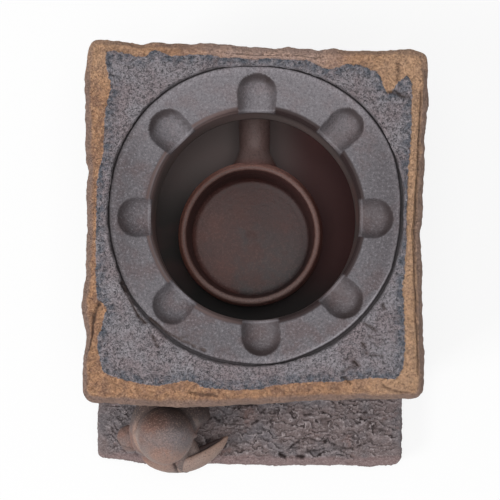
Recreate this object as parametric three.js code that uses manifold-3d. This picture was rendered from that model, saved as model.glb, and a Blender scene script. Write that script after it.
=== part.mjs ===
// A stoneware teapot warmer: a block of rough clay slabs round a fire chamber, a round well
// with eight thumb vents under the teapot's seat, a loose candle cup with a side handle, and a
// small seated figure on the ledge in front. Millimetres, +Z up, +Y to the rear.
import * as THREE from 'three';
import { mergeVertices } from 'three/addons/utils/BufferGeometryUtils.js';
import Module from 'manifold-3d';

// The block: base slab and top slab are cut to one width and depth.
const blockWidth = 120;
const blockDepth = 124;

// Base slab: the chamber stands on its rear part, and the ledge reaches out in front.
const baseThickness = 14;
const ledgeDepth = 27;
const baseCorner = 4;

// Top slab, which hangs over the walls and sits a little to the right of the base. Its rear
// edge runs askew, as it was cut by hand.
const topThickness = 16;
const topShift = 1;
const topCorner = 4;
const topRearSkew = 2;
const edgeRounding = 1.2;

// Walls of the fire chamber, between base and top slab.
const wallThickness = 11;
const overhang = 3;

// Seat for the teapot: a shallow round recess with the well in its middle.
const seatToBlockSide = 7;
const seatDepth = 1.5;
const seatRearward = 2;
const wellRadiusAtSeat = 37.5;
const wellRadiusBelow = 35.8;

// Thumb vents, pressed into the seat and open to the well.
const ventCount = 8;
const ventRadius = 7;
const ventDepth = 5;
const ventToSeatEdge = 2.5;

// Candle cup: a thrown bowl with a rounded rim and a foot.
const cupRadius = 26.2;
const cupHeight = 25;
const cupRimThickness = 2.6;
const cupBellyInset = 0.8;
const cupBellyHeight = 11;
const cupFootRadius = 23;
const cupFloorThickness = 3.5;
const cupFloorRadius = 22.6;
const cupFloorRound = 1.6;
const cupLeftOfWell = 1.5;
const cupAheadOfWell = 4.5;

// The cup's handle: a round bar to the rear, wider where it is luted to the cup.
const handleRadius = 5.7;
const handleFlare = 1.2;
const handleFlareLength = 7;
const handleBelowRim = 1.8;
const handleRightOfCup = 1;
const handleBehindBlock = 6;

// Arched opening in the rear wall, through which the candle cup goes in. The wall's height is
// what the cup, the arch over it and the lintel above the arch add up to.
const archSideGap = 5.8;
const archHeadGap = 1.7;
const archRise = 12;
const lintelHeight = 8;

// Seated figure on the left of the ledge, with its back to the front wall. Its outline gives
// shares of half its width and of its height, from the hem to the neck. Sizes of the rounded
// pieces are half widths, half depths and half heights.
const figureInset = 29;
const robeHalfWidth = 14.6;
const robeHalfDepth = 12.8;
const robeHeight = 25;
const robeOutline = [[0.92, 0], [1, 0.22], [0.98, 0.55], [0.84, 0.8], [0.5, 0.96]];
const headRadius = 10.6;
const headSink = 1.6;
const headForward = 4.8;
const lapSize = [12.5, 6.5, 6];
const lapCentre = [2, -13.5, 9];
const sleeveSize = [12.5, 3.6, 5.5];
const sleeveCentre = [13, -12, 7];
const sleeveTurn = 27 * Math.PI / 180;
const kneeSize = [6, 6.5, 5.5];
const kneeCentre = [-14.5, -9, 5.6];

// Gap left where one piece is trimmed to another, or rests on it and can be moved.
const seatGap = 0.3;
const roundSegments = 56;
const barSegments = 28;
const ballSegments = 22;
const cutSpare = 1;

const archWidth = 2 * (cupRadius + archSideGap);
const archJamb = cupHeight + seatGap + archHeadGap;
const wallHeight = archJamb + archRise + lintelHeight;
const wallsWidth = blockWidth - 2 * overhang;
const wallsDepth = blockDepth - 2 * overhang;
const seatRadius = blockWidth / 2 - seatToBlockSide;
const ventReach = seatRadius - ventToSeatEdge;
const cupX = topShift - cupLeftOfWell;
const cupY = seatRearward - cupAheadOfWell;

// Fired colours, read from the photograph.
const clay = {
  top: [0x6f6c70, 0.72, 0.05],
  base: [0x6c6061, 0.85, 0],
  wall: [0x5e5150, 0.85, 0],
  cup: [0x5b443e, 0.55, 0.05],
  figure: [0x94776b, 0.75, 0],
};

function finish(name) {
  const [color, roughness, metalness] = clay[name];
  return new THREE.MeshStandardMaterial({ color, roughness, metalness });
}

const wasm = await Module();
wasm.setup();

function solidOf(geometry, placement = new THREE.Matrix4()) {
  const bare = geometry.index ? geometry.clone() : mergeVertices(geometry);
  bare.deleteAttribute('normal');
  bare.deleteAttribute('uv');
  const merged = mergeVertices(bare, 1e-4).applyMatrix4(placement);
  const mesh = new wasm.Mesh({
    numProp: 3,
    vertProperties: new Float32Array(merged.attributes.position.array),
    triVerts: new Uint32Array(merged.index.array),
  });
  return new wasm.Manifold(mesh);
}

function geometryOf(solid) {
  const mesh = solid.getMesh();
  const geometry = new THREE.BufferGeometry();
  geometry.setAttribute('position', new THREE.BufferAttribute(mesh.vertProperties, 3));
  geometry.setIndex(new THREE.BufferAttribute(mesh.triVerts, 1));
  return geometry;
}

function placed([x, y, z], turnX = 0, turnZ = 0) {
  const turn = new THREE.Quaternion().setFromEuler(new THREE.Euler(turnX, 0, turnZ));
  return new THREE.Matrix4().compose(new THREE.Vector3(x, y, z), turn, new THREE.Vector3(1, 1, 1));
}

// A closed outline through four corners, given in order, each rounded by the same radius.
function roundedOutline(corners, radius) {
  const shape = new THREE.Shape();
  corners.forEach((corner, i) => {
    const before = corners[(i + corners.length - 1) % corners.length];
    const after = corners[(i + 1) % corners.length];
    const start = corner.clone().add(before.clone().sub(corner).setLength(radius));
    const end = corner.clone().add(after.clone().sub(corner).setLength(radius));
    if (i === 0) {
      shape.moveTo(start.x, start.y);
    } else {
      shape.lineTo(start.x, start.y);
    }
    shape.quadraticCurveTo(corner.x, corner.y, end.x, end.y);
  });
  shape.closePath();
  return shape;
}

// A clay slab of the given outline, from z = 0 up, with its edges rounded off.
function slab(outline, thickness) {
  const geometry = new THREE.ExtrudeGeometry(outline, {
    depth: thickness - 2 * edgeRounding,
    bevelThickness: edgeRounding,
    bevelSize: edgeRounding,
    bevelOffset: -edgeRounding,
    bevelSegments: 2,
    curveSegments: 6,
  });
  return geometry.translate(0, 0, edgeRounding);
}

// A solid of revolution about Z from [radius, z] pairs that start and end on the axis.
function turned(profile, segments = roundSegments) {
  const points = profile.map(([radius, z]) => new THREE.Vector2(radius, z));
  return new THREE.LatheGeometry(points, segments).rotateX(Math.PI / 2);
}

// [radius, z] pairs along an arc of a profile, from one angle to another.
function arc(radius, z, round, from, to, steps) {
  return Array.from({ length: steps + 1 }, (_, i) => {
    const angle = from + (to - from) * i / steps;
    return [radius + round * Math.cos(angle), z + round * Math.sin(angle)];
  });
}

function ellipsoid([halfWidth, halfDepth, halfHeight], grown = 0) {
  const ball = new THREE.SphereGeometry(1, ballSegments, ballSegments / 2).rotateX(Math.PI / 2);
  return ball.scale(halfWidth + grown, halfDepth + grown, halfHeight + grown);
}

// Corners of a rectangle in order, its rear edge askew by the given amount.
function blockCorners(front, rear, skew = 0) {
  const side = blockWidth / 2;
  return [
    new THREE.Vector2(-side, front),
    new THREE.Vector2(side, front),
    new THREE.Vector2(side, rear - skew / 2),
    new THREE.Vector2(-side, rear + skew / 2),
  ];
}

function baseSlab() {
  const corners = blockCorners(-blockDepth / 2 - ledgeDepth, blockDepth / 2);
  return slab(roundedOutline(corners, baseCorner), baseThickness);
}

// The well widens towards the seat, and each vent is the dip of a thumb that opens into it.
function topSlab() {
  const corners = blockCorners(-blockDepth / 2, blockDepth / 2, topRearSkew);
  const seatZ = topThickness - seatDepth;
  const flareSlope = (wellRadiusAtSeat - wellRadiusBelow) / seatZ;
  const seatCut = turned([
    [0, -cutSpare],
    [wellRadiusBelow - flareSlope * cutSpare, -cutSpare],
    [wellRadiusAtSeat, seatZ],
    [seatRadius, seatZ],
    [seatRadius, topThickness + cutSpare],
    [0, topThickness + cutSpare],
  ]);
  let solid = solidOf(slab(roundedOutline(corners, topCorner), topThickness));
  solid = solid.subtract(solidOf(seatCut, placed([0, seatRearward, 0])));
  const thumbLength = ventReach - wellRadiusAtSeat;
  const thumb = new THREE.CapsuleGeometry(ventRadius, thumbLength, 6, 16).rotateZ(Math.PI / 2);
  const thumbMiddle = ventReach - ventRadius - thumbLength / 2;
  const thumbZ = seatZ + ventRadius - ventDepth;
  for (let i = 0; i < ventCount; i += 1) {
    const angle = 2 * Math.PI * i / ventCount;
    const x = thumbMiddle * Math.cos(angle);
    const y = seatRearward + thumbMiddle * Math.sin(angle);
    solid = solid.subtract(solidOf(thumb, placed([x, y, thumbZ], 0, angle)));
  }
  return geometryOf(solid);
}

function wallBlock(width, depth) {
  const block = new THREE.BoxGeometry(width, depth, wallHeight);
  return block.translate(0, 0, wallHeight / 2);
}

// The rear wall stands with its outline in the XZ plane and its thickness along Y.
function archedWall() {
  const half = wallsWidth / 2;
  const shape = new THREE.Shape();
  shape.moveTo(-half, 0);
  shape.lineTo(-archWidth / 2, 0);
  shape.lineTo(-archWidth / 2, archJamb);
  shape.absellipse(0, archJamb, archWidth / 2, archRise, Math.PI, 0, true);
  shape.lineTo(archWidth / 2, 0);
  shape.lineTo(half, 0);
  shape.lineTo(half, wallHeight);
  shape.lineTo(-half, wallHeight);
  shape.closePath();
  const options = { depth: wallThickness, bevelEnabled: false, curveSegments: 20 };
  const wall = new THREE.ExtrudeGeometry(shape, options);
  return wall.rotateX(Math.PI / 2).translate(0, wallThickness / 2, 0);
}

// Outer profile of the cup from the foot up to its rim, grown by a gap where it cuts its handle.
function cupOutside(grown = 0) {
  return [
    [0, -grown],
    [cupFootRadius + grown, -grown],
    [cupRadius - cupBellyInset + grown, cupBellyHeight],
    [cupRadius + grown, cupHeight - cupRimThickness / 2],
  ];
}

function candleCup() {
  const round = cupRimThickness / 2;
  const floorEdge = cupFloorRadius - cupFloorRound;
  return turned([
    ...cupOutside().slice(0, -1),
    ...arc(cupRadius - round, cupHeight - round, round, 0, Math.PI, 6),
    ...arc(floorEdge, cupFloorThickness + cupFloorRound, cupFloorRound, 0, -Math.PI / 2, 3),
    [0, cupFloorThickness],
  ]);
}

// The handle's profile runs from inside the bowl, where the bowl trims it, to its rounded end.
function cupHandle() {
  const end = blockDepth / 2 + handleBehindBlock - cupY;
  const profile = [
    [0, 0],
    [handleRadius + handleFlare, 0],
    [handleRadius + handleFlare, cupRadius],
    [handleRadius + handleFlare / 3, cupRadius + handleFlareLength / 2],
    [handleRadius, cupRadius + handleFlareLength],
    ...arc(0, end - handleRadius, handleRadius, 0, Math.PI / 2, 4).slice(0, -1),
    [0, end],
  ];
  const handleZ = cupHeight - handleBelowRim - handleRadius - handleFlare;
  const barPlace = placed([handleRightOfCup, 0, handleZ], -Math.PI / 2);
  const bar = solidOf(turned(profile, barSegments), barPlace);
  const top = cupHeight + cutSpare;
  const bowl = turned([...cupOutside(seatGap), [cupRadius + seatGap, top], [0, top]]);
  return geometryOf(bar.subtract(solidOf(bowl)));
}

// The robe is a squat dome: broad at the seat, narrower at the shoulders, hollowed for the head.
function robeSolid(gap = 0) {
  const grown = gap / robeHalfDepth;
  const side = robeOutline.map(([width, height]) => [width + grown, height * robeHeight]);
  const dome = turned([[0, 0], ...side, [0, robeHeight + gap]], barSegments);
  return solidOf(dome.scale(robeHalfWidth, robeHalfDepth, 1));
}

const headPlace = placed([0, -headForward, robeHeight + headRadius - headSink]);
const headSize = [headRadius, headRadius, headRadius];

function robe() {
  return geometryOf(robeSolid().subtract(solidOf(ellipsoid(headSize, seatGap), headPlace)));
}

function head() {
  return ellipsoid(headSize).applyMatrix4(headPlace);
}

function lap() {
  return geometryOf(solidOf(ellipsoid(lapSize), placed(lapCentre)).subtract(robeSolid(seatGap)));
}

// A rounded piece of the dress, trimmed where it meets the lap and the robe.
function trimmedLump(size, centre, turnZ = 0) {
  const lump = solidOf(ellipsoid(size), placed(centre, 0, turnZ));
  const lapRoom = solidOf(ellipsoid(lapSize, seatGap), placed(lapCentre));
  return geometryOf(lump.subtract(lapRoom).subtract(robeSolid(seatGap)));
}

function piece(name, geometry, clayName, x = 0, y = 0, z = 0) {
  const mesh = new THREE.Mesh(geometry, finish(clayName));
  mesh.name = name;
  mesh.position.set(x, y, z);
  return mesh;
}

const endWallY = wallsDepth / 2 - wallThickness / 2;
const sideWallX = wallsWidth / 2 - wallThickness / 2;
const sideWallDepth = wallsDepth - 2 * wallThickness;

const chamber = new THREE.Group();
chamber.add(
  piece('front_wall', wallBlock(wallsWidth, wallThickness), 'wall', 0, -endWallY),
  piece('rear_wall', archedWall(), 'wall', 0, endWallY),
  piece('left_wall', wallBlock(wallThickness, sideWallDepth), 'wall', -sideWallX),
  piece('right_wall', wallBlock(wallThickness, sideWallDepth), 'wall', sideWallX),
  piece('top_slab', topSlab(), 'top', 0, 0, wallHeight),
);
chamber.position.set(topShift, 0, baseThickness);

const candle = new THREE.Group();
candle.add(piece('candle_cup', candleCup(), 'cup'), piece('cup_handle', cupHandle(), 'cup'));
candle.position.set(cupX, cupY, baseThickness + seatGap);

const figure = new THREE.Group();
figure.add(
  piece('figure_robe', robe(), 'figure'),
  piece('figure_head', head(), 'figure'),
  piece('figure_lap', lap(), 'figure'),
  piece('figure_left_sleeve', trimmedLump(sleeveSize, sleeveCentre, sleeveTurn), 'figure'),
  piece('figure_right_knee', trimmedLump(kneeSize, kneeCentre), 'figure'),
);
const figureY = -wallsDepth / 2 - seatGap - robeHalfDepth;
figure.position.set(figureInset - blockWidth / 2, figureY, baseThickness + seatGap);

// The origin is under the middle of the whole object, to the nearest half millimetre.
const group = new THREE.Group();
group.add(piece('base_slab', baseSlab(), 'base'), chamber, candle, figure);
const bounds = new THREE.Box3().setFromObject(group);
const middle = bounds.getCenter(new THREE.Vector3());
group.position.set(-Math.round(2 * middle.x) / 2, -Math.round(2 * middle.y) / 2, 0);

export default group;
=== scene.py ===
import math

import bpy
import numpy as np
from mathutils import Euler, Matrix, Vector, noise


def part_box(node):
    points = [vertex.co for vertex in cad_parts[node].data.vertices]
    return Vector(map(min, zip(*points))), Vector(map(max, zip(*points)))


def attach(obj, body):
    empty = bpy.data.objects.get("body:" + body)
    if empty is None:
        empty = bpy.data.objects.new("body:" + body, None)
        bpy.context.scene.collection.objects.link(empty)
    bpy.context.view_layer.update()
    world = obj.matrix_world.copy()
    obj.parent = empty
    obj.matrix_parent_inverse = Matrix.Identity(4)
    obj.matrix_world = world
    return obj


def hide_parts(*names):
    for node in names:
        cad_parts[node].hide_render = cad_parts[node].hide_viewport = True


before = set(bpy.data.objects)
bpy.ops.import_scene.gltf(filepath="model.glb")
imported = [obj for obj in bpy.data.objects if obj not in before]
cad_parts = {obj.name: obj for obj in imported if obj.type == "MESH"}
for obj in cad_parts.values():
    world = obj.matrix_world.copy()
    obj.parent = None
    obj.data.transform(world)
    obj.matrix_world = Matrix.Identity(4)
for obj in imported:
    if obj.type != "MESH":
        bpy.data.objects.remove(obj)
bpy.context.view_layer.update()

# The view: a long lens almost straight above the warmer, a little in front of its middle.
# It is set up first, because torn edges and pressed dips are placed where it sees them: a
# name ending in SEEN gives places across and down the view, or round the well's middle.
PICTURE_SIDE = 500
FOCAL_PIXELS = 1495
SENSOR_MM = 36
CAMERA_PLACE = Vector((3.2, -25.0, 597.0))
CAMERA_TURN = Euler((math.radians(2.93), math.radians(0.45), math.radians(0.61)), "ZXY")
MM = 0.001


def put(name, data):
    """A new object in the scene."""
    made = bpy.data.objects.new(name, data)
    bpy.context.scene.collection.objects.link(made)
    return made


camera_data = bpy.data.cameras.new("camera")
camera_data.lens = FOCAL_PIXELS * SENSOR_MM / PICTURE_SIDE
camera_data.sensor_width = SENSOR_MM
camera = put("camera", camera_data)
camera.rotation_mode = "ZXY"
camera.rotation_euler = CAMERA_TURN
camera.location = CAMERA_PLACE * MM
bpy.context.scene.camera = camera


def seen_at(seen, height):
    """Where a place in the view lies at a height above the table, in millimetres."""
    across = seen[0] - PICTURE_SIDE / 2
    up = PICTURE_SIDE / 2 - seen[1]
    ray = CAMERA_TURN.to_matrix() @ Vector((across, up, -FOCAL_PIXELS))
    return CAMERA_PLACE + ray * ((height - CAMERA_PLACE.z) / ray.z)


# The base slab: a thick slab of groggy brown stoneware, cut with a wire and torn open along
# its front ledge. Its rear part is the floor of the fire chamber and was smoothed by hand.
LEDGE_CRACKS_SEEN = (
    (((289, 451), (293, 446), (303, 439), (311, 438), (318, 441), (330, 441), (340, 447),
      (349, 449), (358, 447), (371, 442)), 0.32, 1.0),
    (((309, 451), (320, 450.5), (327, 448)), 0.3, 0.9), (((281, 454), (286, 457)), 0.6, 1.2),
    (((299, 456), (305, 457)), 0.6, 1.2), (((293, 448), (303, 447)), 0.3, 0.8),
    (((230, 441), (236, 446), (247, 451)), 0.3, 0.6), (((262, 413), (266, 409)), 0.45, 0.9),
    (((269, 423), (273, 419)), 0.4, 0.9), (((346, 434), (358, 433)), 0.35, 0.7),
    (((208, 420), (214, 417), (220, 421)), 0.45, 0.9), (((366, 414), (378, 415)), 0.35, 0.7),
    (((222, 416), (224, 421)), 0.45, 0.8), (((253, 424), (259, 421)), 0.4, 0.8),
    (((240, 435), (242, 440)), 0.35, 0.7), (((306, 415), (312, 414)), 0.4, 0.8),
    (((240, 405), (248, 404), (256, 405)), 0.5, 0.9), (((320, 420), (332, 418)), 0.35, 0.6))
BASE_SIDES_SEEN = ((97, 430), (402.5, 430))
BASE_FRONT_SEEN = ((106, 459), (114, 460), (126, 461), (138, 462.5), (170, 464), (210, 465),
                   (250, 465.5), (282, 466), (354, 466.5), (390, 466), (400, 465.5))
BASE_CORNER = (3.4, 3.4, 1.8)
BASE_ROWS_STEP = 0.7
BROAD_FLAPS = (3.4, 1.5, 8.0, 2.0)
NARROW_FLAPS = (2.2, 1.2, 5.0, 7.0)
LEDGE_STEP = 0.36
HIDDEN_STEP = 1.2
BASE_BROWN = (125, 111, 110)
BASE_PINK = (138, 114, 110)
BASE_GREY = (121, 115, 118)
BASE_FRONT = (144, 122, 120)
BASE_CREST = (200, 188, 189)
BASE_SHADE = (42, 31, 30)
BASE_SIDE = (120, 100, 96)
CHAMBER_BROWN = (66, 46, 44)
CHAMBER_DARK = (44, 38, 36)
CHAMBER_LIGHT = (104, 92, 90)
CHAMBER_RED = (64, 18, 17)
CHAMBER_BLACK = (20, 15, 14)


class Wire:
    """An output in a material's node tree. Sums and products of wires add Math nodes."""

    def __init__(self, tree, socket=None):
        self.tree = tree
        self.socket = socket

    def node(self, kind, settings=None, inputs=None, output=0):
        """Adds any other node: its settings first, then the values or links of its sockets."""
        made = self.tree.nodes.new("ShaderNode" + kind)
        for name, value in (settings or {}).items():
            setattr(made, name, value)
        for name, value in (inputs or {}).items():
            if isinstance(value, Wire):
                self.tree.links.new(value.socket, made.inputs[name])
            else:
                made.inputs[name].default_value = value
        return Wire(self.tree, made.outputs[output] if made.outputs else None)

    def math(self, operation, *values):
        """The result of a Math node on wires and numbers."""
        return self.node("Math", {"operation": operation}, dict(enumerate(values)))

    def __add__(self, other):
        return self.math("ADD", self, other)

    def __sub__(self, other):
        return self.math("SUBTRACT", self, other)

    def __mul__(self, other):
        return self.math("MULTIPLY", self, other)

    def __rsub__(self, other):
        return self.math("SUBTRACT", other, self)

    __radd__ = __add__
    __rmul__ = __mul__

    def step(self, low, high):
        """0 below low and 1 above high, smooth between them; low may be the greater one."""
        limits = {"Value": self, "From Min": low, "From Max": high}
        return self.node("MapRange", {"interpolation_type": "SMOOTHSTEP"}, limits)

    def choose(self, without, with_it):
        """Mixes two colours: the first where this wire is 0 and the second where it is 1."""
        colours = {0: self, 6: tint(without), 7: tint(with_it)}
        return self.node("Mix", {"data_type": "RGBA", "clamp_factor": True}, colours, output=2)

    def coated(self, *coats):
        """This colour under coats of others, each given as its share from 0 to 1 and colour."""
        colour = self
        for share, coat in coats:
            colour = share.choose(colour, coat)
        return colour

    def read(self, *names):
        """The values that a mesh's points hold under these names."""
        return [self.node("Attribute", {"attribute_name": name}, output="Fac") for name in names]

    def along(self, axis):
        """One coordinate of this place."""
        return self.node("SeparateXYZ", None, {0: self}, output=axis)


def tint(colour):
    """A screen colour from 0 to 255 as a shader's linear colour. A wire stays as it is."""
    if isinstance(colour, Wire):
        return colour
    shares = np.array(colour) / 255
    linear = np.where(shares <= 0.04045, shares / 12.92, ((shares + 0.055) / 1.055) ** 2.4)
    return (*linear.tolist(), 1.0)


def new_clay(name):
    """A material, the start of its wires, and its surface coordinates in millimetres."""
    material = bpy.data.materials.new(name)
    material.use_nodes = True
    material.node_tree.nodes.clear()
    start = Wire(material.node_tree)
    metres = start.node("TexCoord", output="Object")
    place = start.node("VectorMath", {"operation": "SCALE"}, {0: metres, "Scale": 1 / MM})
    return material, start, place


def lumps(place, size, detail=3.0, rough=0.55, warp=0.0, stretch=(1, 1, 1)):
    """Noise from 0 to 1 with lumps of the given size in millimetres."""
    drawn = place
    if stretch != (1, 1, 1):
        drawn = place.node("VectorMath", {"operation": "MULTIPLY"}, {0: place, 1: stretch})
    inputs = {"Vector": drawn, "Scale": 1 / size, "Detail": detail, "Roughness": rough,
              "Distortion": warp}
    return place.node("TexNoise", None, inputs)


def patches(place, size, low, high, one, other, detail=3.0):
    """One colour in patches of a size in millimetres among another, with soft borders."""
    return lumps(place, size, detail).step(low, high).choose(one, other)


def fire(start, colour, roughness, relief_mm, metallic=0.0, specular=0.5):
    """Ends a clay's wires in its shader. The relief is a height in millimetres."""
    bump = start.node("Bump", None, {"Height": relief_mm, "Distance": MM})
    shader = start.node("BsdfPrincipled", None, {
        "Base Color": colour, "Roughness": roughness, "Metallic": metallic,
        "Specular IOR Level": specular, "Normal": bump})
    start.node("OutputMaterial", None, {"Surface": shader})


def grain(points, size, octaves=4, seed=0.0):
    """Fractal noise of about -1 to 1 at points in millimetres, with lumps of a size."""
    shifted = np.asarray(points, float) / size + seed
    return np.array([noise.fractal(Vector(p), 1.0, 2.0, octaves) for p in shifted])


def smooth(value, low, high):
    """The smooth step from 0 at low to 1 at high, where low may be the greater one."""
    share = np.clip((value - low) / (high - low), 0, 1)
    return share * share * (3 - 2 * share)


def gap_to(path, flat, closed=False):
    """Distance from each flat point to a path of straight stretches."""
    ends = np.roll(path, -1, 0) if closed else path[1:]
    nearest = np.full(len(flat), 1e9)
    for a, b in zip(path, ends):
        run = b - a
        share = np.clip((flat - a) @ run / max(run @ run, 1e-9), 0, 1)
        nearest = np.minimum(nearest, np.linalg.norm(flat - a - share[:, None] * run, axis=1))
    return nearest


def cracks_at(flat, cracks, height):
    """Depth of drawn cracks, each given as its path in the view, width and depth."""
    depth = np.zeros(len(flat))
    jagged = 0.45 * grain(np.column_stack([flat, np.zeros(len(flat))]), 1.6, 4, 12.0)
    for path, width, deep in cracks:
        drawn = np.array([seen_at(seen, height)[:2] for seen in path])
        gap = gap_to(drawn, flat) + jagged
        depth = np.maximum(depth, deep * np.exp(-(gap / width) ** 2))
    return depth


def torn(points, size, stretch, seed=0.0):
    """Height of torn clay, about -1 in its creases to 1 on its crests."""
    drift = np.column_stack([grain(points, 1.2 * size, 3, seed + shift) for shift in (1, 5, 9)])
    drawn = (points + 0.4 * size * drift) * stretch / size + seed
    crests = [noise.ridged_multi_fractal(Vector(p), 0.9, 2.1, 5, 1.0, 2.0) for p in drawn]
    return (np.array(crests) - 1.2) / 0.7


def layered(points, size, stretch, seed=0.0):
    """Height of clay split in layers, about -1 to 1: flat steps with steep broken edges."""
    rise = 4.0 * grain(points * stretch, size, 5, seed)
    tread = rise - np.floor(rise)
    return (np.floor(rise) + tread ** 3) / 4.0


def flaps(points, spacing, wander, size, seed=0.0):
    """Share of the way up each wavy flap of torn clay, from front to rear, where it drops."""
    rise = points[:, 1] / spacing + wander * grain(points * (1, 1.5, 1), size, 4, seed)
    return rise - np.floor(rise)


def block_lattice(xs, ys, zs, plain_foot=False):
    """Points and quads of a closed lattice over a block's surface, from its grid lines."""
    counts = (len(xs), len(ys), len(zs))
    on_skin = np.ones(counts, bool)
    on_skin[1:-1, 1:-1, 1:-1] = False
    index = np.full(counts, -1)
    index[on_skin] = np.arange(on_skin.sum())
    points = np.stack(np.meshgrid(xs, ys, zs, indexing="ij"), -1)[on_skin]
    quads = []
    for axis in range(3):
        for end in (0, -1):
            face = np.take(index, end, axis)
            corners = [face[:-1, :-1], face[1:, :-1], face[1:, 1:], face[:-1, 1:]]
            around = np.stack(corners, -1).reshape(-1, 4)
            outward = (end == -1) != (axis == 1)
            if not (plain_foot and (axis, end) == (2, 0)):
                quads.append(around if outward else around[:, ::-1])
    quads = np.concatenate(quads)
    if not plain_foot:
        return points.astype(float), quads
    rim = [index[:, 0, 0], index[-1, 1:, 0], index[-2::-1, -1, 0], index[0, -2:0:-1, 0]]
    foot = np.concatenate(rim)[::-1]
    used = np.unique(quads)
    number = np.full(len(points), -1)
    number[used] = np.arange(len(used))
    return points[used].astype(float), number[quads], number[foot]


def grid_lines(*stops):
    """Grid lines through stops, each given as a place and the step from there on."""
    lines = [np.linspace(a, b, max(2, round(abs(b - a) / step) + 1))[:-1]
             for (a, step), (b, _) in zip(stops, stops[1:])]
    return np.append(np.concatenate(lines), stops[-1][0])


def rounded(points, low, high, radii):
    """Moves points of a block's surface in, so that its edges have the given radii."""
    radii = np.array(radii, float)
    inner = np.clip(points, np.array(low) + radii, np.array(high) - radii)
    beyond = (points - inner) / radii
    length = np.linalg.norm(beyond, axis=1, keepdims=True)
    return inner + radii * beyond / np.maximum(length, 1e-9)


def outward_of(points, quads):
    """Unit normals of a mesh's points."""
    a, b, c, d = (points[quads[:, i]] for i in range(4))
    across = np.cross(c - a, d - b)
    normals = np.zeros_like(points)
    for i in range(4):
        np.add.at(normals, quads[:, i], across)
    return normals / np.maximum(np.linalg.norm(normals, axis=1, keepdims=True), 1e-12)


def make_piece(name, points, faces, material, body, slot, *nodes, **attributes):
    """A smooth-shaded mesh from millimetres that stands for CAD nodes and rides on a body."""
    mesh = bpy.data.meshes.new(name)
    mesh.from_pydata((points * MM).tolist(), [], [list(map(int, face)) for face in faces])
    for title, values in attributes.items():
        layer = mesh.attributes.new(title, "FLOAT", "POINT")
        layer.data.foreach_set("value", np.asarray(values, np.float32))
    mesh.polygons.foreach_set("use_smooth", np.ones(len(mesh.polygons), bool))
    mesh.materials.append(material)
    mesh.update()
    piece = put(name, mesh)
    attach(piece, body)
    if nodes:
        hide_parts(*nodes)
    return piece


def box_mm(node):
    """Lowest and highest corner of a CAD node, in millimetres."""
    low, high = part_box(node)
    return np.array(low) / MM, np.array(high) / MM


def ledge_clay():
    """The base slab's clay: torn and brown outside, smoked dark and red in the chamber, with
    painted light and shade.
    """
    material, start, place = new_clay("torn_base_clay")
    hollow, crest, side, inside = start.read("hollow", "crest", "side", "inside")
    right_mm = place.along("X")
    rear_mm = place.along("Y")
    speckle = lumps(place, 0.5, 4, 0.7)
    crumb = lumps(place, 1.5, 5, 0.72, 0.4, (1, 1.6, 1))
    strip = (rear_mm + (lumps(place, 6, 3) - 0.5) * 3.0).step(-74.0, -76.0)
    ends = right_mm.step(28, 44) * 0.22 + right_mm.step(-42, -50) * 0.26
    ends = ends * rear_mm.step(-72, -60) * lumps(place, 7, 3).step(0.3, 0.6)
    colour = patches(place, 14, 0.42, 0.62, BASE_BROWN, BASE_GREY).coated(
        (lumps(place, 9, 3).step(0.58, 0.72), BASE_PINK),
        (strip * 0.85, BASE_FRONT),
        (ends, BASE_SHADE),
        (side * 0.8, BASE_SIDE),
        # Painted highlight on the crests and, last, painted shade in the hollows and cracks.
        (crest * 0.72, BASE_CREST),
        (speckle.step(0.52, 0.34) * 0.4, BASE_SHADE),
        (speckle.step(0.54, 0.66) * 0.3, BASE_CREST),
        (crumb.step(0.53, 0.66) * (ends + 0.2), BASE_CREST),
        (crumb.step(0.44, 0.35) * 0.3, BASE_SHADE),
        (hollow * 0.9, BASE_SHADE),
    )
    # The chamber's floor: painted light towards the rear, and painted shade at the front under the
    # well's lip.
    floor = patches(place, 16, 0.4, 0.62, CHAMBER_DARK, CHAMBER_BROWN, 2).coated(
        (rear_mm.step(14, 40) * 0.8, CHAMBER_LIGHT),
        (right_mm.step(2, 24) * 0.85, CHAMBER_RED),
        (rear_mm.step(0, -18) * 0.9, CHAMBER_BLACK),
    )
    relief = (speckle * 0.25 + crumb * (0.7 + side * 0.9)) * (1 - inside * 0.93)
    rough = 0.62 + speckle * 0.3 - inside * 0.2
    fire(start, inside.choose(colour, floor), rough, relief, specular=0.25)
    return material


base_low, base_high = box_mm("base_slab")
wall_front = box_mm("front_wall")[0][1]
points, quads, foot = block_lattice(
    grid_lines((base_low[0], LEDGE_STEP), (base_high[0], 1)),
    grid_lines((base_low[1], LEDGE_STEP), (wall_front + 2, HIDDEN_STEP), (base_high[1], 1)),
    grid_lines((base_low[2], BASE_ROWS_STEP), (base_high[2], 1)),
    plain_foot=True,
)
points = rounded(points, base_low, base_high, BASE_CORNER)
outward = outward_of(points, quads)
x, y, z = points.T
upper = smooth(outward[:, 2], 0.5, 0.9)
side = 1 - smooth(np.abs(outward[:, 2]), 0.35, 0.8)
ledge = upper * smooth(y, wall_front + 1.5, wall_front - 0.5)
margin = smooth(x - base_low[0], 0.5, 6) * smooth(base_high[0] - x, 0, 4)
margin = margin * smooth(y - base_low[1], 1.5, 5.0)
margin = np.clip(margin + 0.3 * grain(points, 9, 3, 4.0), 0.2, 1)
torn_part = ledge * margin

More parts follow.
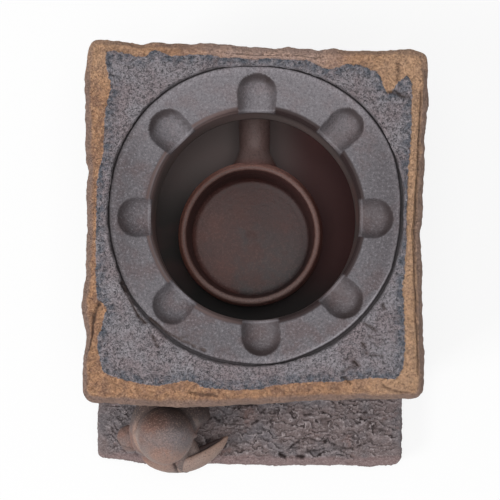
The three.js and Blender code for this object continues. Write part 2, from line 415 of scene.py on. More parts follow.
# Flaps of torn clay, crumbs and cracks on the ledge, and split layers on the sides.
broad = flaps(points, *BROAD_FLAPS)
narrow = flaps(points, *NARROW_FLAPS)
broad_part = np.clip(0.5 + 1.2 * grain(points, 7, 2, 5.0), 0, 1)
narrow_part = 1 - broad_part
crumble = -torn(points, 1.6, (1, 1.5, 1), 8.0)
edge_height = base_high[2] - BASE_CORNER[2]
base_left, base_right = (seen_at(seen, edge_height).x for seen in BASE_SIDES_SEEN)
front_line = np.array([seen_at(seen, edge_height) for seen in BASE_FRONT_SEEN])
to_front = np.interp(x, front_line[:, 0], front_line[:, 1]) - base_low[1]
to_front = to_front * smooth(y, wall_front, base_low[1] + 5)
crack = ledge * cracks_at(np.column_stack([x, y + to_front]), LEDGE_CRACKS_SEEN, base_high[2])
face_tear = torn(points, 7.0, (1, 1, 1.8), 2.0)
face_split = layered(points, 13.0, (1, 1, 1.7), 6.0)

# The surface is lifted along its normals, and then bent to the slab's uneven outline.
lift = 1.5 * broad_part * broad ** 1.5 + 1.1 * narrow_part * narrow ** 1.5 + 0.2 * crumble - 0.75
lift = torn_part * lift
lift = lift + ledge * 0.6 * grain(points * (1, 1.6, 1), 5, 5, 4.0) - 1.1 * crack
lift = lift + side * (0.5 * face_tear + 0.9 * face_split - 0.3)
points = points + outward * lift[:, None]
points[:, 0] = np.interp(
    points[:, 0], (base_low[0] - 5, base_low[0], base_high[0], base_high[0] + 5),
    (base_left - 5, base_left, base_right, base_right + 5))
points[:, 1] += to_front
points[:, 2] = np.maximum(points[:, 2], base_low[2])
points[foot, 2] = base_low[2]

# Painted shade in the hollows and cracks, and painted highlights on the crests.
rugged = smooth(grain(points, 6, 3, 15.0), -0.3, 0.3)
hollow = broad_part * smooth(broad, 0.24, 0.06) + narrow_part * smooth(narrow, 0.32, 0.06)
hollow = hollow * (0.65 + 0.35 * rugged)
hollow = np.maximum(hollow, 0.7 * rugged * smooth(crumble, -0.55, -0.9))
hollow = np.maximum(torn_part * hollow, crack)
hollow = hollow + side * 0.6 * smooth(face_tear, -0.2, -1.0)
crest = broad_part * smooth(broad, 0.7, 0.98) + narrow_part * smooth(narrow, 0.7, 0.98)
crest = torn_part * crest + side * 0.6 * smooth(face_tear, 0.2, 0.9)
make_piece("base_slab_clay", points, [*quads, foot], ledge_clay(), "stove", "base_clay",
           "base_slab", hollow=np.clip(hollow, 0, 1), crest=np.clip(crest, 0, 1), side=side,
           inside=upper * smooth(y, wall_front + 4, wall_front + 8))

# The four walls of the fire chamber: slabs of the same clay stood on the base and luted at
# the corners. They are torn like rock outside and wiped smooth inside.
WALL_STEP = 0.8
SHARP_EDGE = math.radians(72)
WALL_BROWN = (112, 97, 95)
WALL_GREY = (106, 98, 98)
WALL_DARK = (62, 50, 48)
INSIDE_BROWN = (72, 52, 49)
INSIDE_GREY = (58, 50, 48)
INSIDE_RED = (74, 26, 24)


def wall_clay():
    """The walls' clay: rough and grey-brown outside, wiped and smoked inside."""
    material, start, place = new_clay("wall_clay")
    inside, hollow, crest = start.read("inside", "hollow", "crest")
    speckle = lumps(place, 0.6, 4, 0.7)
    crumb = lumps(place, 1.4, 5, 0.7, 0.6)
    outside = patches(place, 26, 0.38, 0.66, WALL_BROWN, WALL_GREY).coated(
        # Painted highlight on the crests and painted shade in the hollows.
        (crest * 0.5, BASE_CREST),
        (speckle.step(0.6, 0.36) * 0.4, WALL_DARK),
        (crumb.step(0.38, 0.30) * 0.5, WALL_DARK),
        (hollow * 0.8, BASE_SHADE),
    )
    wiped = patches(place, 22, 0.4, 0.6, INSIDE_BROWN, INSIDE_GREY, 2)
    wiped = wiped.coated((place.along("X").step(5, 32) * 0.85, INSIDE_RED))
    rough = speckle * 0.3 + 0.62 - inside * 0.22
    relief = (speckle * 0.2 + crumb * 0.4) * (1 - inside * 0.85)
    fire(start, inside.choose(outside, wiped), rough, relief, specular=0.25)
    return material


chamber_low, chamber_high = box_mm("front_wall")[0], box_mm("rear_wall")[1]
fired_wall = wall_clay()


def stand_wall(node, points, quads):
    """Tears the outer faces of a wall's block, and stands it for its CAD node."""
    outward = (points > chamber_high - 0.01) * 1.0 - (points < chamber_low + 0.01) * 1.0
    outward[:, 2] = 0
    outer = np.abs(outward).max(axis=1)
    tear = torn(points, 7.0, (1, 1, 1.8), 5.0)
    split = layered(points, 17.0, (1, 1, 1.7), 4.0)
    lift = outer * (0.7 * tear + 1.5 * split - 0.3)
    points = points + outward * lift[:, None]
    points[:, 2] = np.clip(points[:, 2], chamber_low[2], chamber_high[2])
    # Shares of painted shade in the tear's hollows and of painted highlight on its crests.
    hollow = outer * smooth(tear, -0.2, -1.0)
    crest = outer * smooth(tear + 0.5 * split, 0.3, 1.1)
    piece = make_piece(node + "_clay", points, quads, fired_wall, "stove", "wall_clay", node,
                       inside=1 - outer, hollow=hollow, crest=crest)
    piece.data.set_sharp_from_angle(angle=SHARP_EDGE)


for node in ("front_wall", "left_wall", "right_wall"):
    low, high = box_mm(node)
    stand_wall(node, *block_lattice(
        *(grid_lines((a, WALL_STEP), (b, 1)) for a, b in zip(low, high))))

# The rear wall: the same slab with an arch cut through it with a wire, from the floor up,
# wide enough for the candle cup. It is bent here from a bar that runs round the arch.
ARCH_HALF = 32.0
ARCH_JAMB = 27.0
ARCH_RISE = 12.0
JAMB_SHARE = 0.3
ROUND_THE_ARCH = 230
AWAY_FROM_ARCH = 26

low, high = box_mm("rear_wall")
arch_x = (low[0] + high[0]) / 2
half_wall = (high[0] - low[0]) / 2
wall_height = high[2] - low[2]
points, quads = block_lattice(
    np.linspace(0, 1, ROUND_THE_ARCH),
    grid_lines((low[1], WALL_STEP), (high[1], 1)),
    np.linspace(0, 1, AWAY_FROM_ARCH),
)


def round_arch(share):
    """Points of a path up the left jamb, over the arch and down the right one."""
    over = (share - JAMB_SHARE) / (1 - 2 * JAMB_SHARE)
    angle = math.pi * (1 - np.clip(over, 0, 1))
    z = ARCH_JAMB + ARCH_RISE * np.sin(angle)
    z = np.where(share < JAMB_SHARE, ARCH_JAMB * share / JAMB_SHARE, z)
    z = np.where(share > 1 - JAMB_SHARE, ARCH_JAMB * (1 - share) / JAMB_SHARE, z)
    return ARCH_HALF * np.cos(angle), z


def round_outline(share, half, height):
    """Points of the wall's outline, up the left side, along the top and down the right."""
    stops = [0, JAMB_SHARE, 1 - JAMB_SHARE, 1]
    z = np.interp(share, stops, [0, height, height, 0])
    return np.interp(share, stops[1:3], [-half, half]), z


inner_x, inner_z = round_arch(points[:, 0])
outer_x, outer_z = round_outline(points[:, 0], half_wall, wall_height)
share = points[:, 2]
points[:, 0] = arch_x + inner_x + (outer_x - inner_x) * share
points[:, 2] = low[2] + inner_z + (outer_z - inner_z) * share
stand_wall("rear_wall", points, quads)

# The top slab: a thick slab of the grey-firing clay with torn sides. Its bare edges fired
# ochre. A round seat for the teapot is cut into it, with the well in the middle and eight
# thumb vents pressed into the seat, open to the well and rounded at their outer ends.
SLAB_EDGE_SEEN = (
    (92, 41), (100, 39.5), (110, 40), (120, 41), (130, 42), (140, 43.8), (144, 44), (149, 42.3),
    (160, 42), (170, 43.3), (190, 43.8), (210, 44), (230, 46), (250, 47.6), (270, 48), (280, 47.5),
    (300, 48), (308, 49), (314, 50.5), (320, 51), (326, 50), (331, 48.5), (336, 48), (348, 50),
    (375, 50.5), (408, 50), (417, 51), (422, 53), (426, 57), (427.5, 62), (428, 80), (427.5, 100),
    (426.5, 115), (425, 140), (424, 165), (422.5, 195), (422, 215), (420.5, 230), (420, 236),
    (421, 255), (421.5, 285), (422.5, 315), (423.3, 345), (424, 362), (423, 388), (422, 393),
    (419, 397), (415, 398.7), (402, 398.7), (360, 398.5), (320, 399.5), (300, 401), (270, 402),
    (235, 404.5), (200, 406), (170, 405.5), (145, 405), (120, 403), (100, 401.5), (90, 401),
    (86, 398), (83, 394), (82, 388), (82, 380), (82.5, 365), (84, 348), (86, 340), (85.5, 333),
    (83, 318), (82, 305), (83, 295), (85.5, 275), (86.5, 250), (88, 230), (87.5, 205), (88.5, 172),
    (86.5, 155), (86, 140), (87, 125), (85.5, 105), (85, 85), (86, 65), (88.5, 48))
OCHRE_EDGE_SEEN = (
    (106, 51), (115, 51), (127, 53), (137, 57), (143, 57), (148, 54.5), (152, 50.5), (158, 50),
    (164, 53), (170, 55.5), (180, 56), (190, 54.5), (212, 54.5), (220, 57.5), (240, 57.5),
    (250, 59.5), (270, 58), (290, 59.5), (310, 60.5), (316, 64), (322, 68), (332, 69), (340, 66.5),
    (346, 63.5), (362, 65), (370, 69.5), (377, 72), (381, 79), (384, 86), (386, 92), (392, 93),
    (396, 85), (402, 79), (407, 76), (411, 80), (413, 97), (411, 108), (412, 120), (410.5, 145),
    (408, 172), (407.5, 195), (406.5, 215), (407, 240), (405, 263), (404, 280), (402, 288),
    (404, 303), (404.5, 330), (405, 345), (403.5, 366), (400, 374), (396, 379), (385, 378.5),
    (372, 378), (350, 380), (336, 382), (310, 382), (290, 383.5), (272, 386), (260, 389),
    (235, 390), (215, 388.5), (201, 387.5), (197, 383), (190, 380.5), (176, 382.5), (160, 385.5),
    (145, 384.5), (125, 380), (112, 376.5), (104, 372), (101, 366), (98.5, 352), (97, 338),
    (101, 330), (103, 320), (107, 308), (103, 303), (97, 300), (96, 283), (95.5, 250), (96, 210),
    (97, 183), (99, 170), (103, 155), (104, 138), (105, 112), (109, 95), (111, 86), (109, 77),
    (107, 70), (106, 60))
SEAT_EDGE_SEEN = ((0, 149), (15, 152), (30, 154), (45, 154.5), (60, 153.5), (75, 152),
                  (90, 151), (105, 153), (120, 154), (135, 153.8), (150, 152), (165, 149.5),
                  (180, 148), (195, 147.7), (210, 149.2), (225, 150.7), (240, 152), (255, 152),
                  (270, 151.5), (300, 151.3), (315, 150.7), (330, 150.2), (345, 149))
VENTS_SEEN = ((358.5, 138, 7.0), (44.5, 145, 6.3), (89, 141.5, 7.0), (135, 141.5, 6.9),
              (181, 137.5, 7.0), (227.3, 141.5, 6.8), (273, 141, 6.9), (316.5, 141.5, 6.8))
CRACKS_SEEN = (
    (((99, 303), (95, 314), (92.5, 327), (91, 338), (87, 350)), 0.55, 1.0),
    (((421.5, 92), (421, 118), (419.5, 140), (420, 165), (418, 192), (417, 216), (416, 244),
      (415, 270), (417, 300), (416.5, 322), (419, 345), (419, 372)), 0.6, 0.8),
    (((384, 386), (394, 391), (409, 394)), 0.5, 0.7),
    (((190, 392.5), (202, 394.5), (217, 395.5)), 0.5, 0.7),
    (((121, 282), (127, 294), (133, 305), (137, 313)), 0.5, 1.0),
    (((150, 319), (155, 323.5), (159, 326), (164, 330.5), (170, 335), (176, 337), (181, 340.5),
      (188, 342.5), (197, 348), (206, 350.5)), 0.5, 0.9), (((178, 340), (187, 336)), 0.4, 0.8),
    (((345, 377), (350, 383)), 0.5, 0.9), (((133, 305), (139, 317), (146, 323)), 0.55, 1.1),
    (((362, 342), (364.5, 346), (365, 351), (367.5, 354)), 0.45, 1.1),
    (((353, 361), (356, 363), (358.5, 366.5)), 0.5, 1.1), (((371, 355), (384, 356)), 0.4, 0.6),
    (((365, 323.5), (371, 327), (376, 331)), 0.45, 0.9), (((383, 304), (384.5, 309)), 0.5, 1.0),
    (((341, 373), (347, 369), (353, 366)), 0.5, 0.7), (((152.5, 335), (157.5, 346)), 0.45, 0.9),
    (((344, 360), (349, 358), (354, 359)), 0.4, 0.6), (((369, 336), (375, 338)), 0.4, 0.6),
    (((398, 64), (399, 74), (397, 80)), 0.5, 0.8),
    (((388, 93), (396, 91), (401, 96), (410, 97)), 0.5, 0.9))
SEEN_MIDDLE = (255, 215)
WELL_REAR_OF_BASE_EDGE = 60.0
WELL_TOP_RADIUS = 36.9
WELL_FOOT_REAR = 35.8
WELL_FOOT_FRONT = 36.6
LIP_STEP = 0.4
LIP_ACROSS = 1.7
LIP_DOWN = 1.5
LIP_DROP = 0.8
SEAT_DEPTH = 1.5
SEAT_STEP = ((0.02, SEAT_DEPTH), (0.12, 0.5), (0.35, 0.12))
TOP_PAST_SEAT = 0.8
GROOVE_WIDTH = 0.8
GROOVE_DEPTH = 0.8
WELL_LEAN_TURN = math.radians(335)
PALE_VENTS_TURN = math.radians(200)
WIDE_GROOVE_TURN = math.radians(312)
SECOND_GROOVE_TURN = math.radians(244)
VENT_DEPTH = 4.8
VENT_TAPER = 0.05
SLAB_EDGE_ROUND = 3.2
SIDE_LEAN = 1.6
SLAB_UNDERCUT = 2.2
WELL_FOOT_ROUND = 0.6
TURNS = 640
WELL_ROWS = 9
LIP_ROWS = 9
SEAT_ROWS = 34
TOP_ROWS = 54
EDGE_ROWS = 9
SIDE_ROWS = 14
UNDER_ROWS = 5
TOP_LIGHT = (162, 156, 161)
TOP_MAUVE = (154, 141, 144)
TOP_BLUE = (102, 106, 116)
TOP_PALE = (170, 166, 172)
TOP_PIT = (42, 40, 46)
SEAT_GREY = (102, 98, 102)
SEAT_BROWN = (98, 87, 89)
SEAT_SHADE = (62, 54, 57)
VENT_WALL = (46, 35, 35)
VENT_BROWN = (84, 70, 69)
OCHRE = (194, 147, 112)
OCHRE_SAND = (222, 182, 148)
OCHRE_DEEP = (158, 120, 98)
OCHRE_PINK = (206, 180, 172)
EDGE_BROWN = (144, 120, 110)
EDGE_DARK = (112, 82, 66)
CRACK_BROWN = (64, 48, 42)
SLAB_SIDE = (118, 96, 88)
LIP_BROWN = (98, 81, 79)
LIP_DARK = (38, 24, 24)
GROOVE_DARK = (34, 29, 31)

top_low, top_high = box_mm("top_slab")
slab_top = top_high[2]
slab_foot = top_low[2]
seat_z = slab_top - SEAT_DEPTH
well = np.array(((top_low[0] + top_high[0]) / 2, base_high[1] - WELL_REAR_OF_BASE_EDGE))
angles = np.linspace(0, 2 * math.pi, TURNS, endpoint=False)
around = np.stack([np.cos(angles), np.sin(angles)], -1)


def flat_mm(places, height):
    """Where places in the view lie at a height, measured from the well's axis."""
    return np.array([seen_at(seen, height)[:2] for seen in places]) - well


def reach_of(loop, turn):
    """How far a closed loop round the well's axis reaches at the given turns."""
    loop_turn = np.arctan2(loop[:, 1], loop[:, 0]) % (2 * math.pi)
    order = np.argsort(loop_turn)
    return np.interp(turn, loop_turn[order], np.hypot(*loop.T)[order], period=2 * math.pi)


def at_turn(turn, ring):
    """Values given at the slab's own angles, read at other turns."""
    return np.interp(turn, angles, ring, period=2 * math.pi)


def by_turn(degrees, reach):
    """A place in the view from its turn and reach round the middle of the well."""
    turn = math.radians(degrees)
    return SEEN_MIDDLE[0] + reach * math.cos(turn), SEEN_MIDDLE[1] - reach * math.sin(turn)


def within(loop, flat):
    """Whether each flat point lies inside a closed loop, by counting the sides it crosses."""
    inside = np.zeros(len(flat), bool)
    for a, b in zip(loop, np.roll(loop, -1, 0)):
        spans = (a[1] > flat[:, 1]) != (b[1] > flat[:, 1])
        crossing = a[0] + (flat[:, 1] - a[1]) * (b[0] - a[0]) / ((b[1] - a[1]) or 1e-9)
        inside ^= spans & (flat[:, 0] < crossing)
    return inside


slab_edge = flat_mm(SLAB_EDGE_SEEN, slab_top - 3)
slab_reach = reach_of(slab_edge, angles)
slab_reach = (slab_reach + np.roll(slab_reach, 1) + np.roll(slab_reach, -1)) / 3
seat_edge = flat_mm([by_turn(*seen) for seen in SEAT_EDGE_SEEN], slab_top - 0.5)
seat_reach = reach_of(seat_edge, angles)
well_foot = WELL_FOOT_REAR + (WELL_FOOT_FRONT - WELL_FOOT_REAR) * smooth(around[:, 1], 0.2, -0.7)


def slab_row(reach, height):
    """One closed line of the slab's surface: its reach from the well's axis and height."""
    reach = np.broadcast_to(reach, angles.shape)
    return np.column_stack([well + around * reach[:, None], np.broadcast_to(height, angles.shape)])


# The surface in closed lines: up the well, over its lip, along the seat and the top, down
# the torn side and back under the slab to the well.
rows = []
for share in np.linspace(0, 1, WELL_ROWS)[:-1]:
    reach = well_foot + (WELL_TOP_RADIUS - well_foot) * share
    rows.append(slab_row(reach, slab_foot + (seat_z - LIP_DOWN - LIP_DROP - slab_foot) * share))
for turn in np.linspace(0, math.pi / 2, 4)[:-1]:
    reach = WELL_TOP_RADIUS + LIP_STEP * (1 - math.cos(turn))
    rows.append(slab_row(reach, seat_z - LIP_DOWN - LIP_DROP + LIP_STEP * math.sin(turn)))
for turn in np.linspace(0, math.pi / 2, LIP_ROWS)[:-1]:
    reach = WELL_TOP_RADIUS + LIP_STEP + LIP_ACROSS * (1 - math.cos(turn))
    rows.append(slab_row(reach, seat_z - LIP_DOWN * (1 - math.sin(turn))))
seat_start = WELL_TOP_RADIUS + LIP_STEP + LIP_ACROSS
wide_part = smooth(np.cos(angles - WIDE_GROOVE_TURN), 0.84, 0.98)
wide_part = np.maximum(wide_part, 0.8 * smooth(np.cos(angles - SECOND_GROOVE_TURN), 0.84, 0.97))
wide_part = np.maximum(wide_part, 0.8 * smooth(np.cos(angles), 0.9, 0.98))
groove_width = GROOVE_WIDTH * (1 + wide_part)
seat_end = seat_reach - groove_width
for share in np.linspace(0, 1, SEAT_ROWS):
    rows.append(slab_row(seat_start + (seat_end - seat_start) * share, seat_z))
for share in (0.15, 0.35, 0.55, 0.75, 0.95):
    dip = GROOVE_DEPTH * math.sin(math.pi * min(share, 0.7)) ** 0.7
    rows.append(slab_row(seat_end + groove_width * share, seat_z - dip))
for past, below in SEAT_STEP:
    rows.append(slab_row(seat_reach + past, slab_top - below))
top_start = seat_reach + TOP_PAST_SEAT
top_end = slab_reach - SLAB_EDGE_ROUND
for share in np.linspace(0, 1, TOP_ROWS):
    rows.append(slab_row(top_start + (top_end - top_start) * share, slab_top))
for turn in np.linspace(0, math.pi / 2, EDGE_ROWS)[1:]:
    reach = top_end + SLAB_EDGE_ROUND * math.sin(turn)
    rows.append(slab_row(reach, slab_top - SLAB_EDGE_ROUND * (1 - math.cos(turn))))
side_top = slab_top - SLAB_EDGE_ROUND
for share in np.linspace(0, 1, SIDE_ROWS)[1:]:
    reach = slab_reach - SIDE_LEAN * share ** 3
    rows.append(slab_row(reach, side_top + (slab_foot - side_top) * share))
for share in np.linspace(0, 1, UNDER_ROWS)[1:]:
    run = well_foot + WELL_FOOT_ROUND - slab_reach + SLAB_UNDERCUT
    reach = slab_reach - SLAB_UNDERCUT + run * share
    rows.append(slab_row(reach, slab_foot))
points = np.concatenate(rows)
here = np.arange(len(points)).reshape(len(rows), TURNS)
above = np.roll(here, -1, 0)
quads = np.stack([here, above, np.roll(above, -1, 1), np.roll(here, -1, 1)], -1).reshape(-1, 4)

flat = points[:, :2] - well
reach = np.hypot(flat[:, 0], flat[:, 1])
turn = np.arctan2(flat[:, 1], flat[:, 0]) % (2 * math.pi)


def press_vents(flat):
    """How deep the thumbs pressed at flat points, the far ends of the vents and their shade."""
    dip, far_end, shade = np.zeros((3, len(flat)))
    for degrees, end, radius in VENTS_SEEN:
        outer = flat_mm([by_turn(degrees, end)], seat_z)[0]
        ahead = outer / np.linalg.norm(outer)
        along = flat @ ahead
        aside = flat @ np.array((-ahead[1], ahead[0]))
        centre = np.linalg.norm(outer) - radius
        narrowed = 1 - VENT_TAPER * smooth(along, centre, WELL_TOP_RADIUS)
        distance = np.hypot(np.maximum(along - centre, 0), aside / narrowed) / radius
        shadow = smooth(distance, 0.5, 0.85) * (distance < 1.03)
        shadow = shadow * smooth(along, centre - 1, centre + 0.8 * radius)
        shade = np.maximum(shade, shadow)
        dish = np.clip(1 - distance ** 2.1, 0, 1) ** 0.66
        dip = np.maximum(dip, VENT_DEPTH * dish * (along > 0))
        end_here = smooth(along, centre, centre + 0.75 * radius)
        far_end = np.where(distance < 1, end_here, far_end)
    return dip, far_end, shade


vent_dip, far_end, vent_shadow = press_vents(flat)
gap = points[:, 2] - (seat_z - vent_dip)
lowered = points[:, 2] - (gap + np.sqrt(gap ** 2 + 0.09) - 0.3) / 2
pressed = reach < at_turn(turn, seat_end) + 0.1
pressed &= (vent_dip > 0) & (points[:, 2] > slab_foot + 4)
points[:, 2] = np.where(pressed, np.minimum(points[:, 2], lowered), points[:, 2])

# Grain on the top, a lower bare edge, drawn cracks and a torn side.
outward = outward_of(points, quads)
x, y, z = points.T
past_seat = reach - at_turn(turn, seat_reach)
rim = gap_to(around[::2] * slab_reach[::2, None], flat, closed=True)
ochre_edge = flat_mm(OCHRE_EDGE_SEEN, slab_top)
bare = gap_to(ochre_edge, flat, closed=True) * np.where(within(ochre_edge, flat), -1, 1)
crack = cracks_at(points[:, :2], CRACKS_SEEN, slab_top - 0.5)
crack = crack * smooth(z, slab_top - 7, slab_top - 3)
on_top = smooth(past_seat, 0.4, 1.4) * smooth(z, slab_top - 4, slab_top - 1)
on_side = smooth(outward[:, 2], 0.8, 0.3) * (past_seat > 0) * smooth(z, slab_foot, slab_foot + 3)
tear = torn(points, 6.0, (1, 1, 1.6), 11.0)
split = layered(points, 12.0, (1, 1, 1.7), 3.0)
lift = on_top * (0.20 * grain(points, 2.0, 4, 5.0) + 0.22 * grain(points, 8, 3, 8.0) - 0.2)
lift = lift + on_side * (0.25 * tear + 0.6 * split + 0.15)
lift = lift + on_top * smooth(rim, 6.5, 2.0) * (0.45 * grain(points, 5, 3, 3.0) - 0.45)
lift = lift - on_top * 0.35 * smooth(bare, -0.3, 0.6) - 0.9 * crack
seat_part = smooth(past_seat, 0, -1.5) * smooth(outward[:, 2], 0.3, 0.9)
lift = lift + seat_part * 0.10 * grain(points, 4.5, 3, 6.0)
points = points + outward * lift[:, None]

# The well was cut by hand, so its wall and lip wander a little.
wobble = 0.3 * grain(points, 26, 2, 3.3) + 0.35 * np.cos(turn - WELL_LEAN_TURN)
wobble = smooth(reach, 46, 38) * wobble
points[:, :2] += (flat / np.maximum(reach, 1)[:, None]) * wobble[:, None]

# Shares for the clay: painted shade on the vents' steep walls and far ends, their dips, the well,
# painted highlights on edges, and the groove.
steep = smooth(outward[:, 2], 0.97, 0.66) * smooth(vent_dip, 0.05, 0.4) * (past_seat < 0)
steep = np.maximum(steep * (0.45 + 0.55 * far_end), 0.9 * vent_shadow * (past_seat < 0))
steep = steep * (1 - 0.45 * smooth(np.cos(turn - PALE_VENTS_TURN), 0.6, 0.9))
dip = vent_dip / VENT_DEPTH * (past_seat < 0) * (reach > WELL_TOP_RADIUS - 1)
dip = dip * (1 - 0.8 * smooth(np.sin(turn), 0.5, 0.95))
in_well = smooth(reach, seat_start - 0.05, seat_start - 0.55)
in_well = in_well * smooth(vent_dip, 1.5, 0.2)
in_well = in_well + smooth(z, seat_z - 4.6, seat_z - 5.4) * (reach < 40)
# Painted highlights: a thin line along the lip at the vents' mouths and on the left, and one inside
# the wide groove.
glint = smooth(np.abs(reach - WELL_TOP_RADIUS - 0.7), 0.4, 0.1) * (z > seat_z - VENT_DEPTH - 0.6)
glint = 0.35 * glint * np.maximum(smooth(vent_dip, 0.5, 1.5), smooth(np.cos(turn), -0.3, -0.7))
groove_here = at_turn(turn, groove_width)
inner_side = smooth(np.abs(past_seat + groove_here + 0.3), 0.4, 0.1)
glint = np.maximum(glint, 0.75 * inner_side * smooth(np.cos(turn - WIDE_GROOVE_TURN), 0.84, 0.98))
# The groove's dark line, partly dirt and partly painted shade in its step, and a wider painted
# shade inside the seat on the left.
groove = smooth(np.abs(past_seat / groove_here + 0.5), 0.6, 0.3)
groove = np.maximum(groove, 0.5 * smooth(past_seat, -2.8, -0.4) * (past_seat < 0)
                    * smooth(np.cos(turn), -0.3, -0.85))
groove = groove * (1 - 0.2 * smooth(np.cos(turn - SECOND_GROOVE_TURN), 0.8, 0.95))
below = smooth(z, slab_top - 4.5, slab_top - 8.0) * (past_seat > 0)


def slab_clay():
    """The top slab's clay: mauve-grey top, ochre bare edge, darker seat, vents and well."""
    material, start, place = new_clay("top_slab_clay")
    rim_mm, past_seat_mm, bare_mm = start.read("rim", "past_seat", "bare")
    crack, groove, steep, dip, glint = start.read("crack", "groove", "steep", "dip", "glint")
    in_well, hollow, below = start.read("in_well", "hollow", "below")
    right_mm = place.along("X")
    rear_mm = place.along("Y")
    outer = past_seat_mm.step(-0.6, 0.6)
    sand = lumps(place, 0.55, 2, 0.7)
    coarse = lumps(place, 0.8, 4, 0.72, 0.8)
    mottle = lumps(place, 0.9, 3, 0.7)
    border = bare_mm + (lumps(place, 1.6, 4, 0.65) - 0.5) * 2.2
    ochre = border.step(-0.15, 0.25) * outer
    near_border = border.step(-5.0, -0.8) * (1 - ochre) * outer
    seat = patches(place, 8, 0.42, 0.66, SEAT_GREY, SEAT_BROWN).coated(
        (past_seat_mm.step(-4.0, -1.5) * coarse.step(0.4, 0.6) * 0.5, TOP_LIGHT),
        # Painted light towards the rear of the seat, and painted shade at its left, right and front
        # left.
        (rear_mm.step(25, 60) * 0.25, TOP_LIGHT),
        (right_mm.step(36, 47) * 0.35, SEAT_SHADE),
        (right_mm.step(-36, -47) * 0.45, SEAT_SHADE),
        (rear_mm.step(-14, -30) * right_mm.step(8, -10) * 0.2, SEAT_SHADE),
    )
    grey = patches(place, 8, 0.36, 0.66, TOP_LIGHT, TOP_MAUVE)
    grey = grey.coated((near_border * lumps(place, 2.4, 3).step(0.36, 0.62), TOP_BLUE))
    dark = coarse.step(0.44, 0.32) * (outer * 0.15 + near_border * 0.4 + 0.15)
    dark = dark + sand.step(0.48, 0.36) * (outer * 0.3 + 0.32)
    worm = lumps(place, 1.5, 2, 0.6, 1.4)
    scratch = worm.step(0.47, 0.49) * worm.step(0.53, 0.51) * lumps(place, 1.3, 2).step(0.4, 0.56)
    grey = outer.choose(seat, grey).coated(
        (dark, TOP_PIT),
        (mottle.step(0.48, 0.34) * 0.35, TOP_PIT),
        (mottle.step(0.53, 0.68) * (0.28 + outer * 0.06), TOP_PALE),
        (scratch * (outer * 0.7 + 0.2), TOP_PIT),
    )
    sandy = right_mm.step(24, 52) * 0.5 + right_mm.step(-24, -52) * rear_mm.step(52, 70) * 0.4
    pink = rear_mm.step(56, 70) * right_mm.step(-34, -6) * right_mm.step(38, 20)
    edge = (rim_mm + (lumps(place, 5, 3) - 0.5) * 2.6).step(2.6, 0.4)
    bare = lumps(place, 4.5, 4, 0.65).step(0.36, 0.62).choose(OCHRE_DEEP, OCHRE).coated(
        (mottle.step(0.52, 0.66) * 0.5, OCHRE_SAND),
        (sandy, OCHRE_SAND),
        (pink * 0.6, OCHRE_PINK),
        (mottle.step(0.48, 0.36) * 0.45, EDGE_DARK),
        (edge * (0.85 - rear_mm.step(60, 70) * 0.45), EDGE_BROWN),
    )
    # The torn side, with painted shade in its hollows.
    side = (sand.step(0.48, 0.36) * 0.35).choose(SLAB_SIDE, CRACK_BROWN).coated(
        (coarse.step(0.42, 0.32) * 0.4, CRACK_BROWN),
        (hollow * 0.6, CRACK_BROWN),
    )
    wall = patches(place, 16, 0.4, 0.62, INSIDE_BROWN, INSIDE_GREY, 2)
    # Painted light on the well's wall towards the rear.
    wall = wall.coated((rear_mm.step(20, 44) * 0.5, CHAMBER_LIGHT))
    lip = right_mm.step(-16, 6).choose(LIP_BROWN, LIP_DARK)
    lip = place.along("Z").step(slab_top - 11.0, slab_top - 4.0).choose(wall, lip)
    colour = ochre.choose(grey, bare).coated(
        (below, side),
        (dip * (right_mm.step(-20, 10) * 0.36 + 0.06), VENT_BROWN),
        # Painted shade on the vents' walls, the groove's painted shade and dirt, and the glint's
        # painted highlights.
        (steep * 0.92, VENT_WALL),
        (groove, GROOVE_DARK),
        (crack * 0.9, CRACK_BROWN),
        (in_well, lip),
        (glint * 0.6, TOP_PALE),
    )
    relief = sand * (outer * 0.2 + 0.16) + coarse * (outer * 0.95 + 0.15) + mottle * 0.3
    relief = relief - scratch * outer * 0.9
    rough = 0.5 + sand * 0.35 + ochre * 0.12
    fire(start, colour, rough, relief * (1 - in_well * 0.8), specular=0.4)
    return material


make_piece("top_slab_clay", points, quads, slab_clay(), "stove", "top_clay", "top_slab",
           rim=rim, past_seat=past_seat, bare=bare, crack=crack, groove=groove, steep=steep,
           in_well=np.clip(in_well, 0, 1), hollow=smooth(tear, -0.1, -0.9), below=below,
           dip=dip, glint=glint)

# The candle cup: a small bowl thrown on the wheel, in the smooth dark clay, with a rounded
# rim and a turned foot. It stands loose on the floor of the chamber.
CUP_TURNS = 180
CUP_FLOOR = 3.5
CUP_FLOOR_RADIUS = 22.8
CUP_FOOT_RADIUS = 23.0
CUP_SWELL = 0.9
CUP_WALL = 2.7
CUP_RIM = (1.1, 0.8)
CUP_BROWN = (78, 50, 46)
CUP_RED = (92, 54, 46)
CUP_GREY = (68, 59, 59)
CUP_RIM_BROWN = (100, 71, 64)
CUP_RIM_WORN = (128, 104, 98)
CUP_ASH = (92, 75, 72)
CUP_SIDE = (60, 30, 27)
CUP_ORANGE = (116, 66, 46)
CUP_OUTSIDE = (154, 98, 84)
CUP_SAND = (132, 108, 103)
CUP_GRIT = (40, 28, 26)
ORANGE_SEEN = (229, 243)

cup_low, cup_high = box_mm("candle_cup")
cup_middle = (cup_low + cup_high) / 2
cup_radius = (cup_high[0] - cup_low[0]) / 2
cup_height = cup_high[2] - cup_low[2]


def arc(reach, height, size, start, end, steps):
    """Points [reach, height] of a round stretch of a thrown profile."""
    turn = np.linspace(start, end, steps)
    return np.column_stack([reach + size[0] * np.cos(turn), height + size[1] * np.sin(turn)])


def straight(*corners):
    """Points [reach, height] from corner to corner, each given with its steps to the next."""
    runs = [np.linspace(a, b, steps + 1)[:-1] for (a, steps), (b, _) in zip(corners, corners[1:])]
    return np.concatenate(runs)


